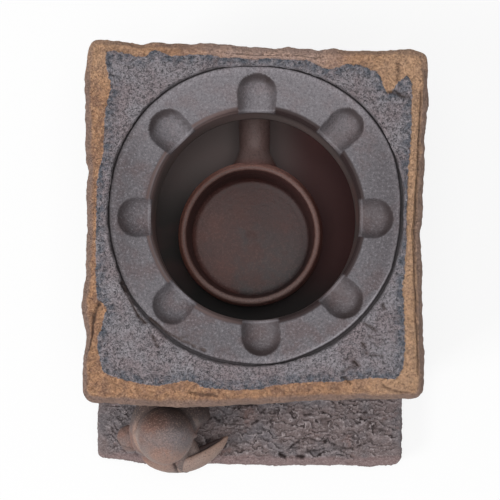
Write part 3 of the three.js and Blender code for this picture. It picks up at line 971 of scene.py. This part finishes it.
def capped(rows, turns):
    """Faces of rows of points between two end points: quads, and a fan at each end."""
    rings = 1 + np.arange(rows * turns).reshape(rows, turns)
    low, high = rings[:-1], rings[1:]
    quads = np.stack([low, np.roll(low, -1, 1), np.roll(high, -1, 1), high], -1).reshape(-1, 4)
    top = rings.max() + 1
    fans = [[0, b, a] for a, b in zip(rings[0], np.roll(rings[0], -1))]
    fans += [[top, a, b] for a, b in zip(rings[-1], np.roll(rings[-1], -1))]
    return quads.tolist() + fans


def thrown(profile, turns):
    """Points and faces of a profile turned about the upright axis, closed at both ends."""
    angle = np.linspace(0, 2 * math.pi, turns, endpoint=False)
    ring = np.stack([np.cos(angle), np.sin(angle)], -1)
    body = [np.column_stack([ring * r, np.full(turns, h)]) for r, h in profile[1:-1]]
    points = np.concatenate([[[0, 0, profile[0][1]]], *body, [[0, 0, profile[-1][1]]]])
    return points, capped(len(body), turns)


# From the foot up the outside, over the rim and down the inside to the floor.
belly = cup_radius + CUP_SWELL
bowl_profile = np.concatenate([
    [[0, 0.5]],
    straight(((0.5, 0.5), 6), ((CUP_FOOT_RADIUS - 3, 0.5), 0)),
    straight(((CUP_FOOT_RADIUS - 2.6, 0.0), 3), ((CUP_FOOT_RADIUS - 0.6, 0.0), 0)),
    arc(CUP_FOOT_RADIUS - 0.6, 0.6, (0.6, 0.6), -math.pi / 2, 0, 4),
    straight(((CUP_FOOT_RADIUS + 0.3, 1.4), 10), ((cup_radius + 0.2, 10.0), 8),
             ((belly, cup_height - 7.0), 5), ((belly - 0.05, cup_height - 2.6), 5),
             ((cup_radius + 0.02, cup_height - 0.9), 0)),
    arc(cup_radius - CUP_RIM[0], cup_height - CUP_RIM[1], CUP_RIM, 0.2, math.pi - 0.1, 14),
    straight(((cup_radius - 2.25, cup_height - 1.2), 6),
             ((cup_radius - CUP_WALL, cup_height - 5.0), 12), ((CUP_FLOOR_RADIUS, 6.0), 0)),
    arc(CUP_FLOOR_RADIUS - 2.2, CUP_FLOOR + 2.2, (2.2, 2.2), 0, -math.pi / 2, 8),
    straight(((CUP_FLOOR_RADIUS - 2.6, CUP_FLOOR - 0.05), 44), ((0.4, CUP_FLOOR + 0.1), 0)),
    [[0, CUP_FLOOR + 0.1]],
])
points, faces = thrown(bowl_profile, CUP_TURNS)

# Throwing rings on the floor and wall, a button in the middle, and a slight wobble.
reach = np.hypot(points[:, 0], points[:, 1])
height = points[:, 2].copy()
swirl = np.arctan2(points[:, 1], points[:, 0]) / (2 * math.pi)
bowl_floor = (reach < CUP_FLOOR_RADIUS - 2.4) & (height > 2)
throwing = 0.012 * np.sin(2 * math.pi * (reach / 2.6 + swirl)) * smooth(reach, 1, 8)
button = 0.22 * np.exp(-(reach / 1.4) ** 2) - 0.12 * np.exp(-((reach - 3.0) / 1.2) ** 2)
points[:, 2] += bowl_floor * throwing
points[:, 2] += bowl_floor * button
outside = np.arange(len(points)) < 1 + CUP_TURNS * (np.argmax(bowl_profile[:, 1]) - 1)
bulge = 0.18 * np.sin(2 * math.pi * (height / 3.1 + swirl)) * smooth(reach, 19, 22)
bulge = bulge * smooth(height, cup_height - 1, cup_height - 5) * smooth(height, 0.5, 3)
bulge = bulge + 0.3 * grain(points, 30, 2, 4.4) * smooth(reach, 8, 20)
points[:, :2] *= (1 + bulge / np.maximum(reach, 1))[:, None]
points += [cup_middle[0], cup_middle[1], cup_low[2]]

# Where the flame turned the floor orange, and the outside's left and rear side, flashed by the fire
# and lightened with painted light.
flame = np.array(seen_at(ORANGE_SEEN, cup_low[2] + CUP_FLOOR))[:2]
flame = np.hypot(*(points[:, :2] - flame).T)
flame = 0.7 * np.exp(-(flame / 7) ** 2) + 0.4 * np.exp(-(flame / 17) ** 2)
flashed = smooth((points[:, :2] - cup_middle[:2]) @ (-0.8, 0.6), -18, 20)
outside = outside * (0.15 + 0.85 * flashed * smooth(height, 6, 18))


def cup_clay():
    """The cup's clay: smooth dark brown, flashed orange and grey by the fire, with painted shade
    and light.
    """
    material, start, place = new_clay("cup_clay")
    ashen, outside, flame = start.read("ashen", "outside", "flame")
    right_mm = place.along("X")
    rear_mm = place.along("Y")
    height_mm = place.along("Z")
    speckle = lumps(place, 0.7, 3, 0.7)
    greyed = (lumps(place, 9, 3, 0.6) + right_mm * 0.014).step(0.42, 0.66)
    red = lumps(place, 13, 3, 0.6).step(0.44, 0.62) * (0.65 - greyed * 0.4)
    # Painted shade on the floor towards the rear and right, and on the inner wall, most at the
    # rear.
    shade = (rear_mm * 0.8 + right_mm * 0.5).step(2, 22) * 0.75
    wall = height_mm.step(cup_low[2] + CUP_FLOOR + 0.3, cup_low[2] + CUP_FLOOR + 3)
    wall = wall * (rear_mm.step(-22, -8) * 0.65 + 0.2)
    edge = height_mm + (lumps(place, 5, 2) - 0.5) * 0.8
    edge = edge.step(cup_high[2] - 1.6, cup_high[2] - 0.2)
    # The rim's edge, lighter with painted light at the front.
    rim = rear_mm.step(-2, -14).choose(CUP_RIM_BROWN, CUP_RIM_WORN)
    colour = greyed.choose(CUP_BROWN, CUP_GREY).coated(
        (red, CUP_RED),
        (shade, CUP_SIDE),
        (flame * lumps(place, 5, 3, 0.6).step(0.3, 0.6) * 0.8, CUP_ORANGE),
        (wall, CUP_SIDE),
        # The outside's colour, partly flashing and partly painted light.
        (outside * 0.9, CUP_OUTSIDE),
        (ashen * 0.8, CUP_ASH),
        (edge * 0.75, rim),
        (speckle.step(0.5, 0.38) * 0.4, CUP_GRIT),
        (speckle.step(0.52, 0.66) * (0.38 - shade * 0.3), CUP_SAND),
    )
    relief = speckle * 0.14 + lumps(place, 2.2, 3) * 0.15
    fire(start, colour, 0.42 + speckle * 0.3, relief, metallic=0.03, specular=0.45)
    return material


fired_cup = cup_clay()
make_piece("candle_cup_bowl", points, faces, fired_cup, "cup", "cup_clay", "candle_cup",
           outside=outside, flame=flame)

# The cup's handle: a bar of the same clay, rolled by hand, luted to the bowl just under the
# rim with a smoothed fillet, and rounded at its end where two fingers grip it.
HANDLE_TURNS = 56
HANDLE_RADIUS = 5.7
HANDLE_WAVE = 0.25
HANDLE_ROUND = 6.4
FILLET = 4.2
FILLET_START = 0.4
FILLET_RUN = 8.6
HANDLE_SUNK = 2.2
HANDLE_BELOW_RIM = 1.2

bar_low, bar_high = box_mm("cup_handle")
bar_x = (bar_low[0] + bar_high[0]) / 2
bar_z = (bar_low[2] + bar_high[2]) / 2
bar_start = cup_middle[1] + cup_radius - HANDLE_SUNK
bar_end = bar_high[1]
bar_profile = [[0, 0]]
for share in np.linspace(0, 1, 16):
    flare = FILLET * (1 - share) ** 1.5
    bar_profile.append([HANDLE_RADIUS + flare, FILLET_START + share * FILLET_RUN])
bar_run = bar_end - bar_start
plain_start = FILLET_START + FILLET_RUN
plain_run = bar_run - HANDLE_ROUND - plain_start
for share in np.linspace(0, 1, 34)[1:]:
    wave = HANDLE_WAVE * math.sin(share * 5)
    bar_profile.append([HANDLE_RADIUS + wave, plain_start + plain_run * share])
end_centre = bar_profile[-1][1]
end_length = bar_run - end_centre
for turn in np.linspace(0, math.pi / 2, 10)[1:-1]:
    bar_profile.append([(HANDLE_RADIUS - 0.2) * math.cos(turn),
                        end_centre + end_length * math.sin(turn)])
bar_profile.append([0, bar_run])
points, faces = thrown(np.array(bar_profile), HANDLE_TURNS)
outward = points * (1, 1, 0)
outward /= np.maximum(np.linalg.norm(outward, axis=1, keepdims=True), 1e-6)
points = points + outward * (0.3 * grain(points, 9, 3, 7.7))[:, None]
along = points[:, 2].copy()
points = np.column_stack([
    bar_x + points[:, 0],
    bar_start + along,
    bar_z + points[:, 1] * np.where(points[:, 1] > 0, 0.92, 1.0),
])
points[:, 2] = np.minimum(points[:, 2], cup_high[2] - HANDLE_BELOW_RIM)
make_piece("cup_handle_bar", points, [face[::-1] for face in faces], fired_cup, "cup",
           "cup_clay", "cup_handle", outside=np.full(len(points), 0.18),
           ashen=smooth(points[:, 1], 35, 39) * smooth(points[:, 1], 74, 60))

# The seated figure: a little bald child monk in a wide robe, pinched and modelled from a
# finer, warmer clay and luted to the ledge with its back to the wall.
SKIN_WARM = (120, 91, 82)
SKIN_GREY = (110, 97, 95)
SKIN_ORANGE = (146, 99, 80)
SKIN_COOL = (118, 112, 115)
SKIN_LIGHT = (172, 146, 132)
SKIN_PALE = (182, 158, 144)
SKIN_SHADE = (52, 38, 36)
HEAD_ROWS = 120
HEAD_TURNS = 160
ABOVE_LEDGE = 0.1
JAW = ((0, -1, -0.22), (0.5, 0.5, 0.42), 0.5)
CHEEK = ((0.42, -0.85, -0.42), (0.24, 0.3, 0.22), 0.55)
EYE_HOLLOW = ((0.36, -0.93, -0.02), (0.2, 0.3, 0.1), -0.35)
EAR = ((0.99, -0.02, -0.16), (0.2, 0.13, 0.27), 1.5)
EAR_BOWL = ((0.97, -0.12, -0.14), (0.12, 0.07, 0.16), -1.0)
NOSE = ((0, -1, -0.2), (0.085, 0.3, 0.13), 0.95)
EYE_ASIDE = 0.34
LINE_HALF = 0.15
LINE_WIDTH = 0.022
LINE_DEPTH = 0.38


def figure_clay():
    """The figure's clay: finer and warmer, with painted shade at the back under the slab and in its
    folds.
    """
    material, start, place = new_clay("figure_clay")
    hollow, warm, cool, pale = start.read("hollow", "warm", "cool", "pale")
    speckle = lumps(place, 0.55, 3, 0.7)
    dots = lumps(place, 0.9, 2, 0.6).step(0.4, 0.6)
    # Painted shade at the back, under the slab.
    soot = (place.along("Y") + (lumps(place, 7, 3) - 0.5) * 6).step(-65.5, -57)
    colour = lumps(place, 12, 2, 0.5).step(0.4, 0.62).choose(SKIN_WARM, SKIN_GREY).coated(
        (lumps(place, 8, 3, 0.6).step(0.5, 0.72) * 0.6, SKIN_ORANGE),
        (warm * (0.25 + dots * 0.55), SKIN_ORANGE),
        # A grey tone that is partly painted sheen, then pale colour that is partly painted
        # highlight, and painted shade.
        (cool * 0.7, SKIN_COOL),
        (pale * 0.8, SKIN_PALE),
        (soot * 0.85, SKIN_SHADE),
        (speckle.step(0.5, 0.36) * 0.42, SKIN_SHADE),
        (speckle.step(0.53, 0.65) * 0.36, SKIN_LIGHT),
        (hollow, SKIN_SHADE),
    )
    relief = speckle * 0.16 + lumps(place, 1.6, 3) * 0.12
    fire(start, colour, 0.5 + speckle * 0.3, relief, specular=0.4)
    return material


fired_figure = figure_clay()


def luted(node, points, faces, **attributes):
    """A piece of the figure for one CAD node, kept above the ledge that it is luted to."""
    points[:, 2] = np.maximum(points[:, 2], base_high[2] + ABOVE_LEDGE)
    make_piece(node + "_clay", points, faces, fired_figure, "stove", "figure_clay", node,
               **attributes)


def ball(rows, turns):
    """Unit directions of a fine ball, its poles up and down, with its faces."""
    tilt = np.linspace(-math.pi / 2, math.pi / 2, rows)
    return thrown(np.column_stack([np.cos(tilt), np.sin(tilt)]), turns)


def bump(way, centre, width, height):
    """A soft bump on directions round a centre given as a direction."""
    centre = np.array(centre, float) / np.linalg.norm(centre)
    gap = np.linalg.norm((way - centre) / width, axis=1)
    return height * np.exp(-gap ** 2)


def pressed_line(way, across, height):
    """A fine line pressed into the face, where across runs from -1 to 1 along it."""
    line = np.exp(-((way[:, 2] - height) / LINE_WIDTH) ** 2)
    return (way[:, 1] < -0.2) * smooth(np.abs(across), 1.1, 0.8) * line


def spot(way, centre, size):
    """A soft spot on the head as it is seen from above, 1 in its middle."""
    return np.exp(-np.sum(((way[:, :2] - centre) / size) ** 2, axis=1))


head_low, head_high = box_mm("figure_head")
head_middle = (head_low + head_high) / 2
head_radius = (head_high[0] - head_low[0]) / 2
way, faces = ball(HEAD_ROWS, HEAD_TURNS)
size = np.full(len(way), head_radius)
size += bump(way, *JAW)
lines = np.zeros(len(way))
for side_of in (-1, 1):
    for centre, width, height in (CHEEK, EYE_HOLLOW, EAR, EAR_BOWL):
        size += bump(way, np.multiply(centre, (side_of, 1, 1)), width, height)
    across = (way[:, 0] - side_of * EYE_ASIDE) / LINE_HALF
    lines += pressed_line(way, across, -0.12 - 0.035 * (1 - across ** 2))
size += bump(way, *NOSE)
across = way[:, 0] / LINE_HALF
lines += pressed_line(way, across, -0.46 + 0.03 * across ** 2)
size -= LINE_DEPTH * lines
points = way * size[:, None]
points += way * (0.12 * grain(points, 6, 3, 2.2))[:, None]
points += head_middle
crown = smooth(way[:, 2], -0.5, 0.0)
# Orange patches, a painted grey sheen on the right and painted highlights along the left edge and
# front; painted shade in the pressed lines.
warm = 0.8 * spot(way, (0.15, -0.62), 0.36) + 0.4 * spot(way, (-0.4, 0.4), 0.5)
cool = crown * spot(way, (0.6, -0.05), 0.5)
pale = crown * (0.5 * smooth(-way[:, 0], 0.8, 0.97) + 0.3 * smooth(-way[:, 1], 0.2, 0.8))
luted("figure_head", points, faces, hollow=np.clip(lines * 0.8, 0, 1),
      warm=np.clip(warm * crown, 0, 1), cool=cool, pale=pale)

# The robe: a squat dome of clay over the seated body, with drooping shoulders, a folded
# collar that crosses in front and folds that run down from the shoulders.
ROBE_HEIGHT = 25.6
ROBE_ROWS = 90
ROBE_TURNS = 200
ROBE_SHAPE = ((0.0, 0.88), (0.12, 0.96), (0.32, 1.0), (0.52, 0.99), (0.64, 0.95), (0.73, 0.88),
              (0.78, 0.835), (0.82, 0.85), (0.87, 0.865), (0.91, 0.83), (0.95, 0.75), (1.0, 0.6))
ROBE_REACH = (
    (0, 15.0), (15, 15.4), (40, 14.2), (90, 12.8), (130, 12.8), (160, 13.4), (183, 14.5),
    (199, 15.8), (217, 17.3), (230, 17.6), (243, 16.8), (260, 14.5), (285, 12.5), (310, 11.3),
    (325, 11.0), (345, 12.6), (360, 15.0))

robe_low, robe_high = box_mm("figure_robe")
robe_middle = (robe_low + robe_high) / 2
heights = np.linspace(0, 1, ROBE_ROWS)
widths = np.interp(heights, *zip(*ROBE_SHAPE))
profile = np.concatenate([[[0, 0]], np.column_stack([widths, heights * ROBE_HEIGHT]),
                          [[0.2, ROBE_HEIGHT + 0.6], [0, ROBE_HEIGHT + 0.7]]])
points, faces = thrown(profile, ROBE_TURNS)
turn = np.arctan2(points[:, 1], points[:, 0])
share = points[:, 2] / ROBE_HEIGHT
flat = np.stack([np.cos(turn), np.sin(turn)], -1)
robe_reach = np.interp(np.degrees(turn) % 360, *zip(*ROBE_REACH))
points[:, :2] *= robe_reach[:, None]
folds = 0.4 * np.sin(9 * turn + 2.5 * share + 1.4 * np.sin(2 * turn))
folds = folds * smooth(share, 0.7, 0.45) * smooth(share, -0.1, 0.25)
folds = folds * smooth(flat[:, 0], 0.1, 0.6)
collar = np.zeros(len(points))
for lean, start in ((-0.42, 0.5), (0.42, 0.6)):
    gap = np.abs(points[:, 0] + lean * (points[:, 2] - ROBE_HEIGHT * 0.55))
    band = np.exp(-(gap / 1.1) ** 2) * (points[:, 1] < 0) * smooth(share, start, start + 0.1)
    collar = np.maximum(collar, band)
push = folds + 0.7 * collar + 0.35 * grain(points, 7, 3, 3.0)
points[:, :2] += flat * push[:, None] * (np.hypot(points[:, 0], points[:, 1]) > 3)[:, None]
points += [robe_middle[0], robe_middle[1], robe_low[2]]
# Painted shade in the folds, on the shoulder at the right and round the neck under the head; a grey
# tone on that shoulder, and a painted highlight along the collar.
crease = smooth(folds, -0.25, -0.45) * 0.5
shoulder = smooth(points[:, 0] - robe_middle[0], 3, 9) * smooth(share, 0.45, 0.7)
crease = np.maximum(crease, 0.2 * shoulder)
beyond_head = np.hypot(*(points[:, :2] - head_middle[:2]).T) - head_radius
crease = np.maximum(crease, 0.75 * smooth(beyond_head, 1.0, 0.1) * smooth(share, 0.5, 0.7))
collar = smooth(np.abs(beyond_head - 1.6), 1.1, 0.2)
collar = collar * smooth(np.abs((points[:, :2] - head_middle[:2]) @ (0.94, -0.35)), 1, 7)
luted("figure_robe", points, faces, hollow=crease, cool=0.8 * shoulder,
      pale=0.5 * collar * smooth(share, 0.62, 0.78))

# The lap: folded forearms and crossed legs under the robe, one rounded roll of the same clay
# with a notch where the dress folds. It is luted to the front of the robe and to the ledge.
LAP_HALF = (12.8, 7.8, 6.4)
LAP_ROWS = 80
LAP_TURNS = 160
LAP_REARWARD = 1.3

lap_low, lap_high = box_mm("figure_lap")
lap_middle = (lap_low + lap_high) / 2 + (0, LAP_REARWARD, 0)
way, faces = ball(LAP_ROWS, LAP_TURNS)
points = way * LAP_HALF
ripple = 0.2 * np.sin(points[:, 0] * 1.5 + 2.0 * way[:, 2]) * smooth(way[:, 2], 0.9, 0.2)
ripple = ripple * smooth(way[:, 0], 0.0, 0.5)
notch = np.exp(-((points[:, 0] - 3.2 + 0.5 * points[:, 2]) / 0.55) ** 2) * (way[:, 1] < 0)
points += way * (ripple - 1.2 * notch + 0.15 * grain(points, 6, 3, 8.0))[:, None]
points[:, 0] -= 2.0 * smooth(way[:, 0], 0.2, 1.0)
points[:, 1] -= 1.5 * smooth(way[:, 0], 0.0, 1.0)
points[:, 2] -= 0.35 * (points[:, 2] + LAP_HALF[2]) * smooth(way[:, 0], 0.0, 0.7)
points += lap_middle
# A painted grey sheen on its right, painted light on its front left, and painted shade in the
# notch.
cool = 0.9 * smooth(way[:, 0], 0.05, 0.35) * smooth(way[:, 1], -0.75, -0.4)
luted("figure_lap", points, faces, hollow=np.clip(notch * 0.8, 0, 1), cool=cool,
      pale=0.35 * cool + 0.4 * smooth(-way[:, 1], 0.2, 0.7) * smooth(way[:, 0], 0.3, -0.2))

# The left sleeve: a wide sleeve of the same clay, drawn out to a point like a leaf and
# curled so that a mouth stays open along its rear edge, painted dark with shade. It is luted to the
# robe.
SLEEVE_ROWS = 90
SLEEVE_TURNS = 64
SLEEVE_TIP_SEEN = ((228, 436), 20)
SLEEVE_ROOT_SEEN = ((160, 466.5), 21)
SLEEVE_BOW_SEEN = ((201, 464.5), 23)
SLEEVE_HALF_WIDTH = 3.9
SLEEVE_HALF_HEIGHT = 5.4
MOUTH_TURN = math.radians(152)
MOUTH_SPREAD = 0.36
MOUTH_DENT = 0.82
LINING_TURN = math.radians(185)

sleeve_tip = np.array(seen_at(*SLEEVE_TIP_SEEN))
sleeve_root = np.array(seen_at(*SLEEVE_ROOT_SEEN))
sleeve_bow = np.array(seen_at(*SLEEVE_BOW_SEEN))
run = np.linspace(0, 1, SLEEVE_ROWS)
spine = ((1 - run) ** 2)[:, None] * sleeve_root + (2 * run * (1 - run))[:, None] * sleeve_bow
spine = spine + (run ** 2)[:, None] * sleeve_tip
ahead = np.gradient(spine, axis=0)
ahead /= np.linalg.norm(ahead, axis=1, keepdims=True)
aside = np.cross(ahead, (0, 0, 1))
aside /= np.linalg.norm(aside, axis=1, keepdims=True)
full = np.sin(math.pi * np.clip(run, 0, 1) ** 0.85) ** 0.66
turn = np.linspace(0, 2 * math.pi, SLEEVE_TURNS, endpoint=False)
from_mouth = np.angle(np.exp(1j * (turn - MOUTH_TURN)))
rows = []
hollows = []
for i in range(1, SLEEVE_ROWS - 1):
    open_here = smooth(run[i], 0.16, 0.34) * smooth(run[i], 0.99, 0.9)
    # Painted shade in the mouth, and along the rear side behind it.
    slit = open_here * np.exp(-(from_mouth / MOUTH_SPREAD) ** 2)
    wide = SLEEVE_HALF_WIDTH * full[i] * (1 - MOUTH_DENT * slit)
    tall = SLEEVE_HALF_HEIGHT * full[i] * (1 - MOUTH_DENT * slit)
    across = np.outer(wide * np.cos(turn), aside[i])
    rows.append(spine[i] + across + np.outer(tall * np.sin(turn), (0, 0, 1)))
    behind = open_here * smooth(np.cos(turn - LINING_TURN), 0.3, 0.6)
    hollows.append(np.maximum(slit, behind))
points = np.concatenate([[spine[0]], *rows, [spine[-1]]])
points += 0.2 * grain(points, 5, 3, 5.0)[:, None] * (0, 0, 1)
hollow = np.concatenate([[0], *hollows, [0]])
sleeve_run = np.concatenate([[0], np.repeat(run[1:-1], SLEEVE_TURNS), [1]])
faces = [face[::-1] for face in capped(SLEEVE_ROWS - 2, SLEEVE_TURNS)]
luted("figure_left_sleeve", points, faces, hollow=hollow, warm=0.35 * (1 - sleeve_run),
      pale=(0.4 + 0.35 * sleeve_run) * (1 - hollow))

# The right knee: a rounded end of the dress that shows beside the robe, a pinched ball of
# the same clay, luted to the robe and to the ledge.
KNEE_SEEN = ((132.5, 437.5), 20)
KNEE_HALF = (5.8, 5.2, 5.2)
KNEE_ROWS = 60
KNEE_TURNS = 100

way, faces = ball(KNEE_ROWS, KNEE_TURNS)
points = way * KNEE_HALF
fold = np.sin(way[:, 2] * 3 + way[:, 1] * 5)
points += way * (0.2 * fold + 0.3 * grain(points, 5, 3, 1.5))[:, None]
points += np.array(seen_at(*KNEE_SEEN))
# Painted shade in the deepest folds.
luted("figure_right_knee", points, faces, hollow=smooth(fold, -0.8, -1.0) * 0.4)

# The table and the light: a plain pale floor, a soft lamp at the left, a wider one
# overhead, and an even pale surround.
FLOOR_SIDE = 3.0
FLOOR_WHITENESS = 0.85
KEY_PLACE = Vector((-1.0, -0.5, 1.15))
KEY_POWER = 11.5
KEY_SIZE = 0.5
OVERHEAD_PLACE = Vector((0.0, -0.1, 1.5))
OVERHEAD_POWER = 10.5
OVERHEAD_SIZE = 0.9
SURROUND = 0.32

floor_mesh = bpy.data.meshes.new("floor")
corner = FLOOR_SIDE / 2
floor_mesh.from_pydata([(-corner, -corner, 0), (corner, -corner, 0), (corner, corner, 0),
                        (-corner, corner, 0)], [], [(0, 1, 2, 3)])
put("floor", floor_mesh)
floor_material = bpy.data.materials.new("floor")
floor_material.use_nodes = True
floor_material.node_tree.nodes.clear()


def background_seen(start):
    """1 for the rays that show the plain white background, and 0 for those that light."""
    camera_ray = start.node("LightPath", output="Is Camera Ray")
    glossy_ray = start.node("LightPath", output="Is Glossy Ray")
    clear_ray = start.node("LightPath", output="Is Transmission Ray")
    return camera_ray.math("MAXIMUM", camera_ray, glossy_ray.math("MAXIMUM", glossy_ray, clear_ray))


start = Wire(floor_material.node_tree)
matt = start.node("BsdfDiffuse", None, {"Color": (0.9, 0.9, 0.9, 1)})
white = start.node("Emission", None, {"Color": (1, 1, 1, 1), "Strength": 1.0})
mixed = {0: background_seen(start) * FLOOR_WHITENESS, 1: matt, 2: white}
shown = start.node("MixShader", None, mixed)
start.node("OutputMaterial", None, {"Surface": shown})
floor_mesh.materials.append(floor_material)


def lamp(name, place, power, size):
    """A square soft lamp that looks at the middle of the object."""
    data = bpy.data.lights.new(name, "AREA")
    data.energy = power
    data.size = size
    made = put(name, data)
    made.location = place
    made.rotation_euler = (-place).to_track_quat("-Z", "Y").to_euler()


lamp("key", KEY_PLACE, KEY_POWER, KEY_SIZE)
lamp("overhead", OVERHEAD_PLACE, OVERHEAD_POWER, OVERHEAD_SIZE)
world = bpy.data.worlds.new("surround")
bpy.context.scene.world = world
world.use_nodes = True
world.node_tree.nodes.clear()
start = Wire(world.node_tree)
strength = background_seen(start) * (1 - SURROUND) + SURROUND
sky = start.node("Background", None, {"Color": (1, 1, 1, 1), "Strength": strength})
start.node("OutputWorld", None, {"Surface": sky})
bpy.context.scene.view_settings.view_transform = "Standard"
